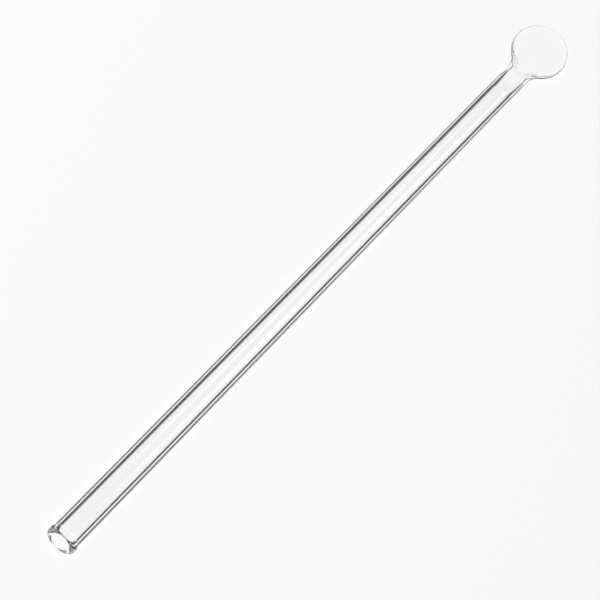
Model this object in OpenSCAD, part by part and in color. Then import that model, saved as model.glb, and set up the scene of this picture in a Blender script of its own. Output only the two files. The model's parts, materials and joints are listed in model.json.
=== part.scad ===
// Glass stirring rod: a tube with a fire-polished, beaded mouth at one end. The other end
// was softened, pressed flat and drawn out into an oval paddle, which closes the bore.
// The rod lies on its side along X, mouth towards -X, with the paddle's faces level. The
// paddle is low on the tube, so that its edges keep the rod from rolling.

/* [Rod] */
// Length over all, from the lip of the mouth to the tip of the paddle
rod_len = 250; // [120:5:400]
// Outer diameter of the tube
tube_d = 8; // [7:0.5:10]
// Diameter of the bore
bore_d = 5.4; // [3:0.1:6.2]

/* [Mouth] */
// How far the bead stands out from the tube
bead_rise = 0.3; // [0.1:0.05:1]
// Straight length of the bead between its rounded edges
bead_land = 0.7; // [0.1:0.1:4]
// Radius of the hollow where the bead runs back into the tube
bead_hollow_r = 0.5; // [0.2:0.1:2]

/* [Paddle] */
// Length of the paddle's oval outline
paddle_l = 22.5; // [18:0.5:40]
// Width of the paddle's oval outline
paddle_w = 18; // [15:0.5:30]
// Thickness between the paddle's two pressed faces
paddle_t = 2.5; // [1.5:0.1:3]
// How deep each face is pressed below the full round of the rim
face_press = 0.1; // [0.05:0.05:0.2]
// How far the middle of the paddle's thickness lies below the axis of the tube
paddle_drop = 1.5; // [0:0.1:1.8]

/* [Neck] */
// Width of the neck where its fillets run out into the edge of the paddle
neck_w = 11.8; // [10.5:0.1:13.5]
// Length over which the round tube is pressed down to the paddle's thickness
press_len = 7.5; // [6:0.5:16]
// How far the bore widens on each side as the press flattens it
pocket_flare = 0.3; // [0.1:0.05:0.5]
// Diameter of the channel that the flattened bore leaves along each edge of the neck
channel_d = 1; // [0.6:0.1:1.2]
// How far each channel follows its fillet
channel_len = 5; // [2:0.5:5]

/* [Hidden] */
$fn = 96;

glass_tint = [0.86, 0.93, 0.93, 0.4];
past = 1;             // how far a cutting shape runs past what it cuts
overrun = 0.2;        // how far a curved face runs past the one it leads to, so that they cross
overlap = 0.08;       // how far the two arcs of a press curve reach into each other
channel_slant = 11;   // angle at which each edge channel slants out of the pocket, in degrees
channel_step = 0.05;  // how much smaller in radius a channel's two ends are than its middle

tube_r = tube_d / 2;
bore_r = bore_d / 2;
wall = tube_r - bore_r;

// Bead: the lip is a full round, as thick as the glass is at the bead
bead_r = tube_r + bead_rise;
lip_r = (bead_r - bore_r) / 2;
lip_mid_r = bore_r + lip_r;
bead_back_x = lip_r + bead_land;
hollow_r = tube_r + bead_hollow_r;
hollow_x = bead_back_x + sqrt(bead_rise * (2 * (lip_r + bead_hollow_r) - bead_rise));

// Paddle: a round disc stretched along X into an oval
paddle_x = rod_len - paddle_l / 2;
half_t = paddle_t / 2;
rim_r = half_t + face_press;

// Neck: at fillet_x it is neck_y wide on each side, with its round edges inside the tube;
// from there each fillet swings out to the oval, which it meets at join_angle
neck_y = sqrt((tube_r - overrun - rim_r) ^ 2 - paddle_drop ^ 2) + rim_r;
join_angle = asin(neck_w / paddle_w);
join_x = paddle_x - paddle_l / 2 * cos(join_angle);
join_normal = [-cos(join_angle) / paddle_l, sin(join_angle) / paddle_w];
join_dir = join_normal / norm(join_normal);
fillet_r = (neck_w / 2 - overrun * join_dir[1] - neck_y) / (1 - join_dir[1]);
fillet_x = join_x + (fillet_r - overrun) * join_dir[0];
fillet_y = neck_y + fillet_r;

// The tube is pressed flat by the point where the fillets start
press_x = fillet_x - press_len;

// Edge channels: each lies in the middle of the neck's round edge
channel_r = channel_d / 2;
channel_end_r = channel_r - channel_step;
channel_lead = 0.6 * press_len;
channel_bend_r = fillet_r + rim_r;
channel_turn = channel_len / channel_bend_r * 180 / PI;

// Lengthwise section of the open tube: distance from the axis along X, length along Y
module tube_section() {
    for (y = [lip_r, bead_back_x])
        translate([lip_mid_r, y]) circle(lip_r);
    translate([bore_r, lip_r]) square([2 * lip_r, bead_land]);
    difference() {
        polygon([[lip_mid_r, bead_back_x], [hollow_r, hollow_x], [lip_mid_r, hollow_x]]);
        translate([hollow_r, hollow_x]) circle(bead_hollow_r);
    }
    translate([bore_r, lip_r]) square([wall, press_x - lip_r]);
}

module tube() {
    rotate([0, 90, 0]) rotate_extrude() tube_section();
}

// Side view of one pressed side, measured from the middle of the paddle's thickness: what
// lies under two arcs that lead from the tube, tube_h high there, down to the paddle's face,
// with both arcs set in by the depth
module under_press(tube_h, depth) {
    start = tube_h + overrun;
    end = half_t - overrun;
    arc_r = (press_len ^ 2 + (start - end) ^ 2) / (4 * (start - end));
    crest = [press_x, start - arc_r];
    trough = [fillet_x, end + arc_r];
    turn = crest + (arc_r - depth) / (2 * arc_r) * (trough - crest);
    difference() {
        union() {
            intersection() {
                translate([press_x, 0]) square([turn[0] - press_x, start]);
                translate(crest) circle(arc_r - depth);
            }
            translate([turn[0] - past, 0]) square([fillet_x - turn[0] + past, turn[1]]);
        }
        translate(trough) circle(arc_r + depth + overlap);
    }
}

// A slab as wide as the paddle, with the press curves above and below it in side view
module pressed_slab(depth) {
    rotate([90, 0, 0]) linear_extrude(paddle_w, center = true) {
        translate([press_x - 2 * past, -tube_d]) square([2 * past, 2 * tube_d]);
        translate([0, -paddle_drop]) {
            under_press(tube_r + paddle_drop, depth);
            mirror([0, 1]) under_press(tube_r - paddle_drop, depth);
        }
    }
}

// The softened end of the tube, filled and pressed; it overlaps the open tube by past
module pressed_tube() {
    intersection() {
        rotate([0, 90, 0]) translate([0, 0, press_x - past])
            cylinder(join_x - press_x + past, tube_r, tube_r);
        union() {
            pressed_slab(0);
            translate([press_x, -tube_r, -paddle_drop - half_t])
                cube([join_x - press_x, tube_d, paddle_t]);
        }
    }
}

// The end of the bore: it grows wider as the press closes it
module pocket() {
    intersection() {
        rotate([0, 90, 0]) rotate_extrude() {
            translate([0, press_x - 2 * past]) square([bore_r, 2 * past]);
            polygon([
                [0, press_x], [bore_r, press_x],
                [bore_r + pocket_flare, fillet_x], [0, fillet_x]
            ]);
        }
        pressed_slab(wall);
    }
}

// One edge of the flattened bore: a channel that slants out of the pocket into the neck's
// round edge and then follows it beside the fillet, up to a round end
module edge_channel() {
    translate([fillet_x, fillet_y - channel_bend_r, 0]) rotate([0, 90, channel_slant])
        translate([0, 0, -channel_lead])
            cylinder(channel_lead + 2 * channel_step, channel_end_r, channel_end_r);
    translate([fillet_x, fillet_y, 0]) rotate([0, 0, -90]) {
        rotate_extrude(angle = channel_turn) translate([channel_bend_r, 0]) circle(channel_r);
        rotate([0, 0, channel_turn]) translate([channel_bend_r, 0, 0]) sphere(channel_end_r);
    }
}

// The round-edged hollow that a fillet leaves beside the neck
module fillet_hollow() {
    translate([fillet_x, fillet_y, 0])
        rotate_extrude() difference() {
            translate([0, -rim_r]) square([fillet_r + rim_r, 2 * rim_r]);
            translate([fillet_r + rim_r, 0]) circle(rim_r);
        }
}

module neck() {
    difference() {
        translate([fillet_x, -neck_w / 2, -half_t]) cube([join_x - fillet_x, neck_w, paddle_t]);
        for (side = [0, 1])
            mirror([0, side, 0]) fillet_hollow();
    }
}

module paddle() {
    intersection() {
        translate([paddle_x, 0, 0])
            scale([paddle_l / paddle_w, 1, 1])
                rotate_extrude() {
                    translate([0, -rim_r]) square([paddle_w / 2 - rim_r, 2 * rim_r]);
                    intersection() {
                        translate([paddle_w / 2 - rim_r, 0]) circle(rim_r);
                        translate([0, -rim_r]) square([paddle_w, 2 * rim_r]);
                    }
                }
        translate([rod_len - paddle_l, -paddle_w / 2, -half_t]) cube([paddle_l, paddle_w, paddle_t]);
    }
}

module pressed_end() {
    difference() {
        union() {
            pressed_tube();
            translate([0, 0, -paddle_drop]) {
                neck();
                paddle();
            }
        }
        pocket();
        for (side = [0, 1])
            mirror([0, side, 0]) translate([0, 0, -paddle_drop]) edge_channel();
    }
}

module stirring_rod() {
    color(glass_tint) translate([-rod_len / 2, 0, bead_r]) {
        tube();
        pressed_end();
    }
}

stirring_rod();
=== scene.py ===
"""Looks of the glass stirring rod: a clear tube with a beaded mouth and a flat pressed paddle.

One fine mesh of glass stands for the CAD solid. Its lengthwise sizes are in millimetres
from the lip of the mouth, and heights in millimetres from the axis of the tube.
"""

import json
import math

import bmesh
import bpy
import numpy as np
from mathutils import Matrix, Vector


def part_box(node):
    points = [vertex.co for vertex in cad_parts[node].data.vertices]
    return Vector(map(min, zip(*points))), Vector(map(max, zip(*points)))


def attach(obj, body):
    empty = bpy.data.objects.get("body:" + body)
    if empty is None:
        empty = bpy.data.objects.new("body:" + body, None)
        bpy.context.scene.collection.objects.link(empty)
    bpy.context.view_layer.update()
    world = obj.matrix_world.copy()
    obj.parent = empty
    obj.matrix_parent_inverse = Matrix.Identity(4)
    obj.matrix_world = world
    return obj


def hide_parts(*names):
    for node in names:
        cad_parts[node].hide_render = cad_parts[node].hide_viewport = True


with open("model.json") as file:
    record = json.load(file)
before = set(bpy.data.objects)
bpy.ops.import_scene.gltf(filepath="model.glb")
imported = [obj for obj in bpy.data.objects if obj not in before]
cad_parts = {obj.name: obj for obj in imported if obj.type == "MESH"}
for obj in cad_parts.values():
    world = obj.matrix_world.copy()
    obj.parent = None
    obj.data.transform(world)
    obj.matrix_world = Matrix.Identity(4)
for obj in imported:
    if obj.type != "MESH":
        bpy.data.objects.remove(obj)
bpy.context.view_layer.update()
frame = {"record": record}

MM = 0.001
NODE = "stirring_rod"

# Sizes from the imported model
box_low, box_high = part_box(NODE)
mounts = {mount["name"]: mount for mount in frame["record"]["mounts"]}
AXIS_Z = mounts["mouth"]["pos_m"][2]
UPPER_FACE_Z = mounts["paddle_upper_face"]["pos_m"][2]
LOWER_FACE_Z = mounts["paddle_lower_face"]["pos_m"][2]
ROD_LEN = (box_high[0] - box_low[0]) / MM
TUBE_R = mounts["shank"]["dims"]["r_mm"]
BORE_R = mounts["mouth"]["dims"]["r_mm"]
BEAD_R = (AXIS_Z - box_low[2]) / MM
PADDLE_B = (box_high[1] - box_low[1]) / 2 / MM
PADDLE_HALF_T = (UPPER_FACE_Z - LOWER_FACE_Z) / 2 / MM
PADDLE_DROP = (AXIS_Z - (UPPER_FACE_Z + LOWER_FACE_Z) / 2) / MM
WALL = TUBE_R - BORE_R

# Mouth
BEAD_LAND = 0.7
BEAD_HOLLOW_R = 0.5

# Paddle and neck: half length of the oval, half width where the fillets meet it, and the
# stretches over which the upper and the lower side are pressed flat
PADDLE_A = 11.25
JOIN_HALF_W = 5.9
TOP_PRESS = (211.0, 227.0)
BOTTOM_PRESS = (215.5, 226.0)

# Channels that the flattened bore leaves along the edges of the neck
CHANNEL_R = 0.45
CHANNEL_START = 217.0
CHANNEL_FULL = 222.5
CHANNEL_END = 230.5
CHANNEL_IN = 0.65
CHANNEL_FADE = 1.8

# Points and rings of the mesh
RING_POINTS = 160
LIP_RINGS = 33
BEAD_RINGS = 9
HOLLOW_RINGS = 8
POCKET_RINGS = 110
NECK_RINGS = 130
TIP_RINGS = 70
PLAIN_STEP = 4.0
BORE_SPAN = (2, TOP_PRESS[0] - 3)
TUBE_SPAN = (4, TOP_PRESS[0])
OUTLINE_STEP = 0.01
OUTLINE_REACH = 6
SHUT_HEIGHT = 0.002
SHUT_GAP = 0.0001
SHARP_ANGLE = 50


def smoothstep(t):
    """A smooth rise from 0 to 1 as t goes from 0 to 1."""
    t = np.clip(t, 0, 1)
    return t * t * (3 - 2 * t)


def arc(center, radius, start, end, count):
    """Points of an arc in the lengthwise section, from one angle to another in degrees."""
    turn = np.radians(np.linspace(start, end, count))
    return [(center[0] + radius * math.cos(t), center[1] + radius * math.sin(t)) for t in turn]


# Paddle outline -----------------------------------------------------------------------

PADDLE_X = ROD_LEN - PADDLE_A
join_turn = math.asin(JOIN_HALF_W / PADDLE_B)
JOIN_X = PADDLE_X - PADDLE_A * math.cos(join_turn)
join_normal = Vector((-math.cos(join_turn) / PADDLE_A, math.sin(join_turn) / PADDLE_B)).normalized()
FILLET_R = (JOIN_HALF_W - TUBE_R) / (1 - join_normal[1])
FILLET_X = JOIN_X + FILLET_R * join_normal[0]


def half_width(x):
    """Half the width of the rod's outline seen from above, from the tube to the tip."""
    x = np.asarray(x, float)
    fillet = TUBE_R + FILLET_R - np.sqrt(np.maximum(FILLET_R ** 2 - (x - FILLET_X) ** 2, 0))
    oval = PADDLE_B * np.sqrt(np.maximum(1 - ((x - PADDLE_X) / PADDLE_A) ** 2, 0))
    return np.where(x < FILLET_X, TUBE_R, np.where(x < JOIN_X, fillet, oval))


def outline_points():
    """Closely spaced points on both sides of the outline, from before the press to the tip."""
    straight = np.arange(TOP_PRESS[0] - OUTLINE_REACH, PADDLE_X, OUTLINE_STEP)
    turn = np.arange(0, math.pi / 2, OUTLINE_STEP / PADDLE_A)
    x = np.concatenate([straight, PADDLE_X + PADDLE_A * np.sin(turn), [ROD_LEN]])
    y = half_width(x)
    return np.concatenate([np.stack([x, y], 1), np.stack([x, -y], 1)])


OUTLINE = outline_points()


def depth_from_edge(x, y):
    """How far each point of a ring lies inside the outline."""
    near = OUTLINE[np.abs(OUTLINE[:, 0] - x) < OUTLINE_REACH]
    gaps = np.hypot(near[:, 0][:, None] - x, near[:, 1][:, None] - y[None, :])
    return gaps.min(0)


# Rings --------------------------------------------------------------------------------

TURN = np.linspace(0, 2 * math.pi, RING_POINTS, endpoint=False)
UP = np.where(np.sin(TURN) >= 0, 1.0, -1.0)


def round_ring(x, radius):
    """A circle about the tube's axis."""
    return np.stack([np.full(RING_POINTS, x), radius * np.cos(TURN), radius * np.sin(TURN)], 1)


def eased(x, span):
    """How far x has gone through a span of the rod, from 0 to 1, with soft ends."""
    return float(smoothstep((x - span[0]) / (span[1] - span[0])))


def middle_and_half(x):
    """Middle height and half the thickness of the pressed end, where it is thickest."""
    top = TUBE_R + (PADDLE_HALF_T - PADDLE_DROP - TUBE_R) * eased(x, TOP_PRESS)
    bottom = -TUBE_R + (TUBE_R - PADDLE_HALF_T - PADDLE_DROP) * eased(x, BOTTOM_PRESS)
    return (top + bottom) / 2, (top - bottom) / 2


def outer_ring(x):
    """A ring on the outside of the pressed end, with a round edge all the way along."""
    middle, edge_r = middle_and_half(x)
    y = half_width(x) * np.cos(TURN)
    depth = np.minimum(depth_from_edge(x, y), edge_r)
    depth[np.isclose(np.abs(np.cos(TURN)), 1)] = 0
    height = np.sqrt(np.maximum(edge_r ** 2 - (edge_r - depth) ** 2, 0))
    return np.stack([np.full(RING_POINTS, x), y, middle + UP * height], 1)


def slit_height(y, reach, radius):
    """Half the height of the flattened bore across its width, with round edges."""
    if radius <= 0:
        return np.zeros(RING_POINTS)
    edge = min(radius, reach)
    past_flat = np.maximum(np.abs(y) - (reach - edge), 0) / edge
    return radius * np.sqrt(np.maximum(1 - past_flat ** 2, 0))


def channel_height(y, reach, radius):
    """Half the height of the edge channels: round outwards, and fading towards the middle."""
    if radius <= 0:
        return np.zeros(RING_POINTS)
    outward = np.abs(y) - (reach - radius)
    outer_side = np.sqrt(np.maximum(radius ** 2 - np.maximum(outward, 0) ** 2, 0))
    inner_side = radius * (1 - smoothstep(-outward / CHANNEL_FADE))
    return np.where(outward > 0, outer_side, inner_side)


def inner_ring(x):
    """A ring on the flattened bore: its middle closes first, and a channel is left on each side."""
    middle, half = middle_and_half(x)
    ending = eased(x, (CHANNEL_FULL, CHANNEL_END))
    channel_r = CHANNEL_R * eased(x, (CHANNEL_START, CHANNEL_FULL)) * math.sqrt(1 - ending)
    inset = WALL + (CHANNEL_IN - WALL) * ending
    reach = half_width(x) - inset
    y = reach * np.cos(TURN)
    height = np.maximum(slit_height(y, reach, half - WALL), channel_height(y, reach, channel_r))
    height[height < SHUT_HEIGHT] = 0
    return np.stack([np.full(RING_POINTS, x), y, middle + UP * height], 1)


def mouth_rings():
    """Rings from the bore round the lip and over the bead to the plain tube."""
    lip_r = (BEAD_R - BORE_R) / 2
    mid_r = BORE_R + lip_r
    back_x = lip_r + BEAD_LAND
    rise = BEAD_R - TUBE_R
    hollow_x = back_x + math.sqrt(rise * (2 * (lip_r + BEAD_HOLLOW_R) - rise))
    hollow_r = TUBE_R + BEAD_HOLLOW_R
    meet = math.degrees(math.atan2(hollow_r - mid_r, hollow_x - back_x))
    section = arc((lip_r, mid_r), lip_r, 270, 90, LIP_RINGS)
    section += arc((back_x, mid_r), lip_r, 90, meet, BEAD_RINGS)
    section += arc((hollow_x, hollow_r), BEAD_HOLLOW_R, meet + 180, 270, HOLLOW_RINGS)[1:]
    return [round_ring(x, r) for x, r in section]


def ring_list():
    """All rings in order: out of the closed bore, round the lip, and on to the tip."""
    pocket_x = np.linspace(TOP_PRESS[0], CHANNEL_END, POCKET_RINGS)[::-1]
    bore_x = np.arange(BORE_SPAN[1], BORE_SPAN[0], -PLAIN_STEP)
    tube_x = np.arange(TUBE_SPAN[0], TUBE_SPAN[1], PLAIN_STEP)
    neck_x = np.linspace(TOP_PRESS[0], PADDLE_X, NECK_RINGS)
    tip_x = PADDLE_X + PADDLE_A * np.sin(np.linspace(0, math.pi / 2, TIP_RINGS))[1:-1]
    rings = [inner_ring(x) for x in pocket_x]
    rings += [round_ring(x, BORE_R) for x in bore_x]
    rings += mouth_rings()
    rings += [round_ring(x, TUBE_R) for x in tube_x]
    rings += [outer_ring(x) for x in np.concatenate([neck_x, tip_x])]
    return rings


# Mesh ---------------------------------------------------------------------------------

def skin_faces(points):
    """Quads between neighbouring rings, apart from those where the bore is pressed shut."""
    twins = np.roll(points[:, ::-1], 1, axis=1)
    shut = np.abs(points - twins).max(2) < SHUT_GAP
    faces = []
    for k in range(len(points) - 1):
        here, there = k * RING_POINTS, (k + 1) * RING_POINTS
        for i in range(RING_POINTS):
            j = (i + 1) % RING_POINTS
            if not (shut[k:k + 2, i].all() and shut[k:k + 2, j].all()):
                faces.append((here + i, there + i, there + j, here + j))
    return faces


def join_shut_sides(mesh):
    """Joins the top and the bottom of the bore along the line where the press shuts it."""
    skin = bmesh.new()
    skin.from_mesh(mesh)
    bmesh.ops.remove_doubles(skin, verts=skin.verts, dist=SHUT_GAP * MM)
    loose = [point for point in skin.verts if not point.link_faces]
    bmesh.ops.delete(skin, geom=loose, context="VERTS")
    bmesh.ops.recalc_face_normals(skin, faces=skin.faces)
    skin.to_mesh(mesh)
    skin.free()


def rod_mesh():
    """One closed skin of glass through all the rings, with a single point at the tip."""
    rings = np.array(ring_list())
    faces = skin_faces(rings)
    tip = rings[:, :, 0].size
    last = tip - RING_POINTS
    for i in range(RING_POINTS):
        faces.append((last + i, tip, last + (i + 1) % RING_POINTS))
    points = np.concatenate([rings.reshape(-1, 3), [[ROD_LEN, 0, -PADDLE_DROP]]])
    points = points * MM + np.array([box_low[0], 0, AXIS_Z])
    mesh = bpy.data.meshes.new("rod")
    mesh.from_pydata(points.tolist(), [], faces)
    join_shut_sides(mesh)
    mesh.shade_smooth()
    mesh.set_sharp_from_angle(angle=math.radians(SHARP_ANGLE))
    return mesh


# Materials ----------------------------------------------------------------------------

def grey(value):
    """A plain grey colour."""
    return value, value, value, 1


class Net:
    """A material's nodes, with short ways to add them and join them up."""

    def __init__(self, name):
        self.material = bpy.data.materials.new(name)
        self.material.use_nodes = True
        self.nodes = self.material.node_tree.nodes
        self.links = self.material.node_tree.links
        self.nodes.clear()
        self.out = self.nodes.new("ShaderNodeOutputMaterial")

    def feed(self, socket, source):
        """Links an output to a socket, or sets the socket to a plain value."""
        if isinstance(source, bpy.types.NodeSocket):
            self.links.new(source, socket)
        else:
            socket.default_value = source

    def add(self, kind, **inputs):
        """A new node, with inputs given by their names, where _ stands for a space."""
        node = self.nodes.new(kind)
        for name, source in inputs.items():
            self.feed(node.inputs[name.replace("_", " ")], source)
        return node

    def math(self, operation, a, b):
        """The result of a Math node on two numbers or outputs."""
        node = self.nodes.new("ShaderNodeMath")
        node.operation = operation
        self.feed(node.inputs[0], a)
        self.feed(node.inputs[1], b)
        return node.outputs["Value"]

    def vector_math(self, operation, vector):
        """A Vector Math node that works on one vector."""
        node = self.nodes.new("ShaderNodeVectorMath")
        node.operation = operation
        self.feed(node.inputs[0], vector)
        return node

    def ramp(self, source, stops):
        """Follows (number, brightness) stops, and stays level past the first and the last."""
        low, high = stops[0][0], stops[-1][0]
        across = self.add("ShaderNodeMapRange", Value=source, From_Min=low, From_Max=high)
        node = self.add("ShaderNodeValToRGB", Fac=across.outputs["Result"])
        elements = node.color_ramp.elements
        while len(elements) < len(stops):
            elements.new(0.5)
        for element, (number, value) in zip(elements, stops):
            element.position = (number - low) / (high - low)
            element.color = grey(value)
        return node.outputs["Color"]

    def blend(self, share, a, b, mode="MIX"):
        """A mix of two colours."""
        node = self.nodes.new("ShaderNodeMix")
        node.data_type = "RGBA"
        node.blend_type = mode
        self.feed(node.inputs["Factor"], share)
        self.feed(node.inputs["A"], a)
        self.feed(node.inputs["B"], b)
        return node.outputs["Result"]

    def mix(self, share, a, b):
        """A mix of two shaders."""
        node = self.nodes.new("ShaderNodeMixShader")
        self.feed(node.inputs[0], share)
        self.feed(node.inputs[1], a)
        self.feed(node.inputs[2], b)
        return node.outputs["Shader"]

    def turned(self, path, times):
        """1 for a ray that has been reflected at least so many times, and 0 for any other."""
        return self.math("GREATER_THAN", path.outputs["Glossy Depth"], times - 0.5)


# Glass. Lamp rays, and rays reflected as often as the renderer follows them, go straight on
# through it a little dimmed, so that they don't end in black.
GLASS_IOR = 1.473
DRAW_LINE_SCALE = (8, 900, 900)
DRAW_LINE_DETAIL = 2.0
DRAW_LINE_STRENGTH = 0.035
DRAW_LINE_DEPTH = 0.05 * MM
SMEAR_SCALE = 160.0
SMEAR_RANGE = (0.45, 0.75)
SMEAR_ROUGHNESS = 0.02
MOST_TURNS = 4
STRAIGHT_ON_TONE = 0.78


def draw_lines(net, place):
    """Normals with the faint lengthwise lines that drawing the tube leaves."""
    stretch = net.add("ShaderNodeMapping", Vector=place, Scale=DRAW_LINE_SCALE)
    lines = net.add("ShaderNodeTexNoise", Vector=stretch.outputs["Vector"], Scale=1.0,
                    Detail=DRAW_LINE_DETAIL)
    bump = net.add("ShaderNodeBump", Height=lines.outputs["Fac"], Strength=DRAW_LINE_STRENGTH,
                   Distance=DRAW_LINE_DEPTH)
    return bump.outputs["Normal"]


def smear_roughness(net, place):
    """Roughness of clear glass with a few dull smears."""
    smears = net.add("ShaderNodeTexNoise", Vector=place, Scale=SMEAR_SCALE)
    dull = net.add("ShaderNodeMapRange", Value=smears.outputs["Fac"], From_Min=SMEAR_RANGE[0],
                   From_Max=SMEAR_RANGE[1], To_Min=0.0, To_Max=SMEAR_ROUGHNESS)
    return dull.outputs["Result"]


def glass_material():
    """Clear borosilicate with faint draw lines along it and a few smears."""
    net = Net("clear_glass")
    place = net.add("ShaderNodeTexCoord").outputs["Object"]
    glass = net.add("ShaderNodeBsdfPrincipled", Roughness=smear_roughness(net, place),
                    Normal=draw_lines(net, place))
    glass.inputs["Base Color"].default_value = grey(1)
    glass.inputs["IOR"].default_value = GLASS_IOR
    glass.inputs["Transmission Weight"].default_value = 1.0
    clear = net.add("ShaderNodeBsdfTransparent", Color=grey(STRAIGHT_ON_TONE))
    path = net.add("ShaderNodeLightPath")
    straight_on = net.math("MAXIMUM", path.outputs["Is Shadow Ray"], net.turned(path, MOST_TURNS))
    surface = net.mix(straight_on, glass.outputs["BSDF"], clear.outputs["BSDF"])
    net.links.new(surface, net.out.inputs["Surface"])
    return net.material


# Floor. The camera sees it white. Rays through or off the glass see painted tones instead: white
# ground under the rod and painted black shade beside it, standing in for the dark surroundings of
# bright-field lighting of glassware, so that the glass shows dark lines. Sizes are in millimetres.
BACKGROUND = 0.985
EVEN_WHITE_SHARE = 0.75
FLOOR_GREY = 0.9
FLOOR_SIZE = 8
FLOOR_DROP = 0.02 * MM
# Painted shade: the near-black tone that the glass shows beside the white ground
PAINTED_SHADE_TONE = 0.03
PAINTED_EDGE_SOFT = 2.0
STRIP_HALF_W = 6.5
OVAL_SHIFT = 3.0
OVAL_INSET = 0.5
# Painted shadow bands under the tube's walls, seen by rays reflected inside the glass
PAINTED_WALL_SHADOW_BAND = (2.0, 4.5)
WALL_WHITE_TO = 8.5
WALL_SOFT = 0.8


def white_oval(net, place):
    """How white the ground seen under the paddle is: 1 inside an oval, fading to 0 past its edge, where
    painted black shade takes over.
    """
    middle = PADDLE_X - ROD_LEN / 2 + OVAL_SHIFT
    long_r = PADDLE_A + OVAL_SHIFT
    wide_r = PADDLE_B - OVAL_INSET
    scaled = net.add("ShaderNodeMapping", Vector=place, Scale=(1 / long_r, 1 / wide_r, 0),
                     Location=(-middle / long_r, 0, 0))
    size = net.vector_math("LENGTH", scaled.outputs["Vector"])
    return net.ramp(size.outputs["Value"], [(1, 1), (1 + PAINTED_EDGE_SOFT / PADDLE_B, 0)])


def white_strip(net, x, aside):
    """How white the ground seen under the tube is: 1 along its middle, fading out under the paddle. Past
    it the glass shows painted black shade.
    """
    strip = net.ramp(aside, [(STRIP_HALF_W - PAINTED_EDGE_SOFT, 1), (STRIP_HALF_W + PAINTED_EDGE_SOFT, 0)])
    under_tube = net.ramp(x, [(JOIN_X - ROD_LEN / 2, 1), (PADDLE_X - ROD_LEN / 2, 0)])
    return net.blend(1.0, strip, under_tube, "MULTIPLY")


def painted_wall_shadow(net, aside):
    """Painted shade that rays reflected inside the glass pick up: a painted shadow band on each side
    under the tube's walls, white, then painted black.
    """
    near, far = PAINTED_WALL_SHADOW_BAND
    return net.ramp(aside, [
        (near - WALL_SOFT, 1), (near, PAINTED_SHADE_TONE), (far, PAINTED_SHADE_TONE), (far + WALL_SOFT, 1),
        (WALL_WHITE_TO, 1), (WALL_WHITE_TO + WALL_SOFT, PAINTED_SHADE_TONE),
    ])


def painted_tone_through_glass(net, path):
    """Painted tone of the floor for rays that come out of the glass, by where they land: white ground
    and painted black shade, not lit by the lamps.
    """
    in_mm = net.vector_math("SCALE", net.add("ShaderNodeTexCoord").outputs["Object"])
    net.feed(in_mm.inputs["Scale"], 1 / MM)
    place = in_mm.outputs["Vector"]
    split = net.add("ShaderNodeSeparateXYZ", Vector=place)
    aside = net.math("ABSOLUTE", split.outputs["Y"], 0.0)
    strip = white_strip(net, split.outputs["X"], aside)
    white = net.blend(1.0, strip, white_oval(net, place), "LIGHTEN")
    ground = net.blend(white, grey(PAINTED_SHADE_TONE), grey(1.0))
    return net.blend(net.turned(path, 1), ground, painted_wall_shadow(net, aside))


def floor_material():
    """White floor. To the camera it is mostly even white, and it keeps a soft shadow. Through and off
    the glass it shows painted white and painted black shade instead of its lit look.
    """
    net = Net("white_floor")
    path = net.add("ShaderNodeLightPath")
    matte = net.add("ShaderNodeBsdfDiffuse", Color=grey(FLOOR_GREY))
    white = net.add("ShaderNodeEmission", Color=grey(BACKGROUND), Strength=1.0)
    share = net.math("MULTIPLY", path.outputs["Is Camera Ray"], EVEN_WHITE_SHARE)
    seen_bare = net.mix(share, matte.outputs["BSDF"], white.outputs["Emission"])
    # What the glass shows of the floor is painted: white ground and painted black shade, not lit
    painted_through_glass = net.add("ShaderNodeEmission", Color=painted_tone_through_glass(net, path), Strength=1.0)
    by_glass = net.math("MAXIMUM", path.outputs["Is Transmission Ray"], path.outputs["Is Glossy Ray"])
    net.links.new(net.mix(by_glass, seen_bare, painted_through_glass.outputs["Emission"]), net.out.inputs["Surface"])
    return net.material


# Stage --------------------------------------------------------------------------------

def make_floor():
    """A wide floor just below the rod."""
    bpy.ops.mesh.primitive_plane_add(size=FLOOR_SIZE, location=(0, 0, -FLOOR_DROP))
    floor = bpy.context.object
    floor.name = "floor"
    floor.data.materials.append(floor_material())


# World: white up to one height above the horizon, in degrees, and dim from the next
WHITE_UP_TO = 8
DIM_FROM = 25
DIM_STRENGTH = 0.15


def make_world():
    """White all round up to a low height, and dim above it."""
    world = bpy.data.worlds.new("studio")
    bpy.context.scene.world = world
    world.use_nodes = True
    nodes, links = world.node_tree.nodes, world.node_tree.links
    nodes.clear()
    out = nodes.new("ShaderNodeOutputWorld")
    back = nodes.new("ShaderNodeBackground")
    place = nodes.new("ShaderNodeTexCoord")
    split = nodes.new("ShaderNodeSeparateXYZ")
    shade = nodes.new("ShaderNodeMapRange")
    shade.inputs["From Min"].default_value = math.sin(math.radians(WHITE_UP_TO))
    shade.inputs["From Max"].default_value = math.sin(math.radians(DIM_FROM))
    shade.inputs["To Min"].default_value = BACKGROUND
    shade.inputs["To Max"].default_value = DIM_STRENGTH
    links.new(place.outputs["Generated"], split.inputs["Vector"])
    links.new(split.outputs["Z"], shade.inputs["Value"])
    links.new(shade.outputs["Result"], back.inputs["Strength"])
    links.new(back.outputs["Background"], out.inputs["Surface"])


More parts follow.
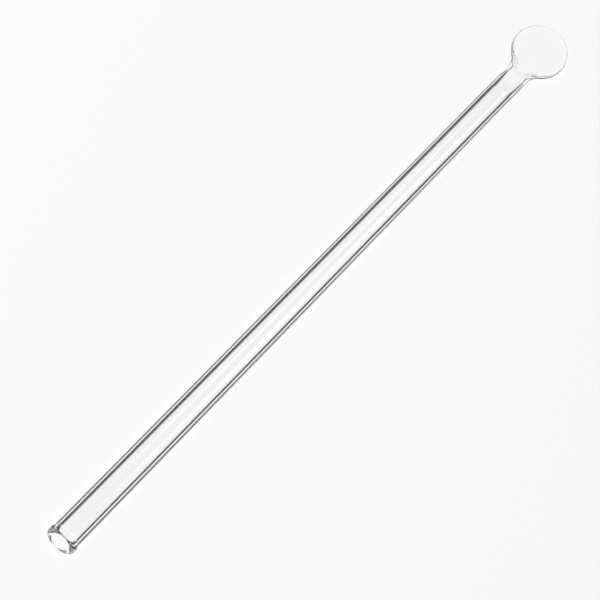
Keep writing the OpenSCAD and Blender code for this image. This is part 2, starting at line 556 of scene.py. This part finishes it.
def make_lamp(name, azimuth, elevation, distance, size, power):
    """A square soft box that faces the middle of the rod."""
    data = bpy.data.lights.new(name, "AREA")
    data.shape = "SQUARE"
    data.size = size
    data.energy = power
    lamp = bpy.data.objects.new(name, data)
    bpy.context.collection.objects.link(lamp)
    turn, rise = math.radians(azimuth), math.radians(elevation)
    away = Vector((math.cos(rise) * math.cos(turn), math.cos(rise) * math.sin(turn), math.sin(rise)))
    lamp.location = away * distance
    lamp.rotation_euler = away.to_track_quat("Z", "Y").to_euler()


# Camera, at the photograph's viewing angle
CAMERA_LENS = 127.44
CAMERA_SENSOR = 36
CAMERA_CLIP_START = 0.01
CAMERA_AIM = Vector((-20.71, -0.70, 4.32)) * MM
CAMERA_DISTANCE = 588.585 * MM
CAMERA_HEADING = 5.673
CAMERA_ELEVATION = 54.163
CAMERA_ROLL = 37.33


def make_camera():
    """The camera, looking down at the rod from behind its mouth."""
    heading, rise = math.radians(CAMERA_HEADING), math.radians(CAMERA_ELEVATION)
    roll = math.radians(CAMERA_ROLL)
    level_reach = math.cos(rise)
    forward = Vector((level_reach * math.cos(heading), level_reach * math.sin(heading), -math.sin(rise)))
    level_right = forward.cross(Vector((0, 0, 1))).normalized()
    level_up = level_right.cross(forward)
    right = math.cos(roll) * level_right + math.sin(roll) * level_up
    up = right.cross(forward)
    data = bpy.data.cameras.new("camera")
    data.lens = CAMERA_LENS
    data.sensor_width = CAMERA_SENSOR
    data.clip_start = CAMERA_CLIP_START
    camera = bpy.data.objects.new("camera", data)
    bpy.context.collection.objects.link(camera)
    turn = Matrix((right, up, -forward)).transposed().to_4x4()
    camera.matrix_world = Matrix.Translation(CAMERA_AIM - forward * CAMERA_DISTANCE) @ turn
    bpy.context.scene.camera = camera


def make_rod():
    """The glass rod, which stands for the CAD solid."""
    mesh = rod_mesh()
    rod = bpy.data.objects.new("glass_rod", mesh)
    bpy.context.collection.objects.link(rod)
    mesh.materials.append(glass_material())
    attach(rod, "root")
    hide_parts(NODE)


make_camera()
make_rod()
make_floor()
make_world()
make_lamp("key", azimuth=110, elevation=55, distance=1.2, size=0.6, power=13.5)
make_lamp("fill", azimuth=-44, elevation=36, distance=1.2, size=0.45, power=1.2)
bpy.context.scene.view_settings.view_transform = "Standard"
